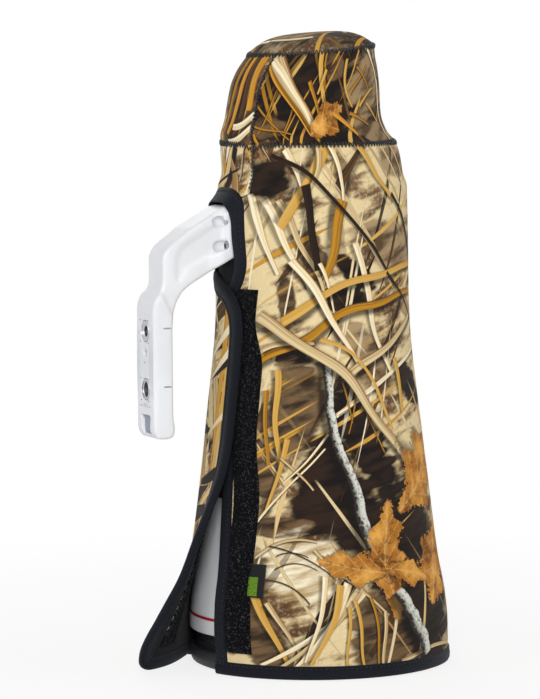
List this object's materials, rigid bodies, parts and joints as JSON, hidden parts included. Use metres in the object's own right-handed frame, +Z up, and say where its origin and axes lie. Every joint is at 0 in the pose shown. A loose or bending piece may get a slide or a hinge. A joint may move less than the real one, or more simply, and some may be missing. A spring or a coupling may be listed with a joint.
{
  "type": "camera lens travel cover",
  "caption": "Neoprene travel cover over a standing telephoto lens: tripod foot through a keyhole, side slit with a hook-and-loop flap peeled open at the hem.",
  "frame": {"origin": "on the lens axis, at the face of the front cap that the lens stands on", "axes": "+Z up along the lens axis from its front cap to its rear cap; -X towards the tripod foot; -Y is the side of the slit's loop strip"},
  "size_m": [0.2154, 0.1712, 0.4056],
  "materials": {
    "printed_neoprene": "matt stretch knit with a dry-grass print over neoprene",
    "binding_tape": "matt knitted binding tape",
    "loop_pile": "fuzzy loop pile",
    "hook_tape": "woven hook tape",
    "tab_cloth": "plain woven tab",
    "white_paint": "smooth semi-gloss white paint",
    "red_paint": "gloss red paint",
    "black_plastic": "fine matt black",
    "cap_cloth": "black coated cap cloth",
    "ring_rubber": "ribbed black rubber",
    "bare_steel": "brushed",
    "coated_glass": "polished with a coating"
  },
  "bodies": {
    "carrier": {"cover_body": "printed_neoprene", "cover_sleeve": "printed_neoprene", "cover_top": "printed_neoprene", "opening_binding": "binding_tape", "hem_binding": "binding_tape", "loop_strip": "loop_pile", "label_tab": "tab_cloth", "collar_ring": "white_paint", "foot": "white_paint", "foot_screw_1": "bare_steel", "foot_screw_2": "bare_steel", "foot_screw_3": "bare_steel", "foot_screw_4": "bare_steel", "insert_small": "bare_steel", "insert_large": "bare_steel"},
    "flap": {"flap_panel": "printed_neoprene", "flap_binding": "binding_tape", "hook_strip": "hook_tape"},
    "barrel": {"hood_ring": "black_plastic", "front_element": "coated_glass", "front_barrel": "white_paint", "red_ring": "red_paint", "mid_barrel": "white_paint", "switch_plate": "black_plastic", "second_cell": "black_plastic", "second_element": "coated_glass", "rear_barrel": "white_paint", "strap_lug_1": "bare_steel", "strap_lug_2": "bare_steel", "rear_cell": "black_plastic", "rear_element": "coated_glass", "mount_seal": "ring_rubber", "bayonet_mount": "bare_steel"},
    "cap": {"front_cap": "cap_cloth"},
    "focus_grip": {"focus_ring": "ring_rubber"},
    "control_grip": {"control_ring": "ring_rubber"},
    "back_cap": {"rear_cap": "black_plastic"},
    "button_1": {"function_button_1": "ring_rubber"},
    "button_2": {"function_button_2": "ring_rubber"},
    "button_3": {"function_button_3": "ring_rubber"},
    "button_4": {"function_button_4": "ring_rubber"},
    "slider_1": {"switch_1": "black_plastic"},
    "slider_2": {"switch_2": "black_plastic"},
    "slider_3": {"switch_3": "black_plastic"},
    "focus_group": {"focus_cell": "black_plastic", "focus_element": "coated_glass"},
    "lock": {"lock_knob": "black_plastic", "lock_shaft": "bare_steel"}
  },
  "joints": [
    {"name": "flap_fold", "type": "hinge", "parent": "carrier", "child": "flap", "pos_m": [-0.06679, 0.03427, 0.12775], "axis": [-0.03, 0.1535, -0.9877], "range_deg": [0, 25], "stiffness_Nm_per_rad": 0.3},
    {"name": "barrel_turn", "type": "hinge", "parent": "carrier", "child": "barrel", "pos_m": [0, 0, 0.278], "axis": [0, 0, 1], "continuous": true},
    {"name": "cap_pull", "type": "slide", "parent": "barrel", "child": "cap", "axis": [0, 0, -1], "range_m": [0, 0.025]},
    {"name": "focus_ring_turn", "type": "hinge", "parent": "barrel", "child": "focus_grip", "pos_m": [0, 0, 0.13], "axis": [0, 0, 1], "continuous": true},
    {"name": "control_ring_turn", "type": "hinge", "parent": "barrel", "child": "control_grip", "pos_m": [0, 0, 0.358], "axis": [0, 0, 1], "continuous": true},
    {"name": "rear_cap_twist", "type": "hinge", "parent": "barrel", "child": "back_cap", "pos_m": [0, 0, 0.38], "axis": [0, 0, 1], "range_deg": [0, 60]},
    {"name": "button_1_press", "type": "slide", "parent": "barrel", "child": "button_1", "axis": [-0.7071, -0.7071, 0], "range_m": [0, 0.0008], "stiffness_N_per_m": 200},
    {"name": "button_2_press", "type": "slide", "parent": "barrel", "child": "button_2", "axis": [0.7071, -0.7071, 0], "range_m": [0, 0.0008], "stiffness_N_per_m": 200},
    {"name": "button_3_press", "type": "slide", "parent": "barrel", "child": "button_3", "axis": [0.7071, 0.7071, 0], "range_m": [0, 0.0008], "stiffness_N_per_m": 200},
    {"name": "button_4_press", "type": "slide", "parent": "barrel", "child": "button_4", "axis": [-0.7071, 0.7071, 0], "range_m": [0, 0.0008], "stiffness_N_per_m": 200},
    {"name": "slider_1_slide", "type": "slide", "parent": "barrel", "child": "slider_1", "axis": [1, 0, 0], "range_m": [-0.0015, 0.0015]},
    {"name": "slider_2_slide", "type": "slide", "parent": "barrel", "child": "slider_2", "axis": [1, 0, 0], "range_m": [-0.0015, 0.0015]},
    {"name": "slider_3_slide", "type": "slide", "parent": "barrel", "child": "slider_3", "axis": [1, 0, 0], "range_m": [-0.0015, 0.0015]},
    {"name": "focus_slide", "type": "slide", "parent": "barrel", "child": "focus_group", "axis": [0, 0, 1], "range_m": [-0.006, 0.006]},
    {"name": "lock_turn", "type": "hinge", "parent": "carrier", "child": "lock", "pos_m": [0, -0.05, 0.278], "axis": [0, -1, 0], "range_deg": [0, 180]}
  ]
}
